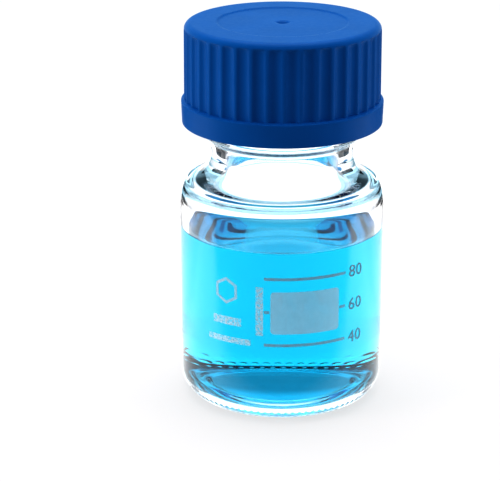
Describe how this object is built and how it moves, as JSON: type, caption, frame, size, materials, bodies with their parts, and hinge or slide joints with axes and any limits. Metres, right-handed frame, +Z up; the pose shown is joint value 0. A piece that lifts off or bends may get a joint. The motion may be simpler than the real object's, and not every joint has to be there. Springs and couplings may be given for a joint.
{
  "type": "reagent bottle",
  "caption": "Short wide clear glass laboratory bottle with a fluted blue screw cap, a pouring ring, white volume markings and a clear blue liquid inside.",
  "frame": {"origin": "on the bottle's axis, at the plane of the foot ring that the bottle stands on", "axes": "+Z up along the bottle's axis; the printed scale faces -Y, its numerals towards +X"},
  "size_m": [0.056, 0.0562, 0.105],
  "materials": {
    "glass": "clear polished borosilicate glass",
    "liquid": "clear blue water-like solution",
    "cap_plastic": "satin moulded blue polypropylene",
    "ring_plastic": "satin moulded blue polypropylene",
    "enamel": "fired white enamel print",
    "panel_enamel": "matt translucent white enamel for pencil notes"
  },
  "bodies": {
    "bottle": {"glass_bottle": "glass", "liquid": "liquid", "writing_panel": "panel_enamel", "scale_line_80": "enamel", "scale_line_60_left": "enamel", "scale_line_60_right": "enamel", "scale_line_40": "enamel", "numeral_80_digit_8": "enamel", "numeral_80_digit_0": "enamel", "numeral_60_digit_6": "enamel", "numeral_60_digit_0": "enamel", "numeral_40_digit_4": "enamel", "numeral_40_digit_0": "enamel", "emblem_hexagon": "enamel", "text_bar_upper": "enamel", "text_bar_lower": "enamel", "text_bar_vertical": "enamel"},
    "pouring_ring": {"pouring_ring": "ring_plastic"},
    "cap": {"screw_cap": "cap_plastic"}
  },
  "joints": [
    {"name": "cap_turn", "type": "hinge", "parent": "bottle", "child": "pouring_ring", "pos_m": [0, 0, 0.1], "axis": [0, 0, 1], "range_deg": [0, 1800]},
    {"name": "cap_rise", "type": "slide", "parent": "pouring_ring", "child": "cap", "axis": [0, 0, 1], "range_m": [0, 0.0301]}
  ],
  "couplings": [
    {"joint": "cap_rise", "follows": "cap_turn", "m_per_rad": 0.00095493}
  ]
}
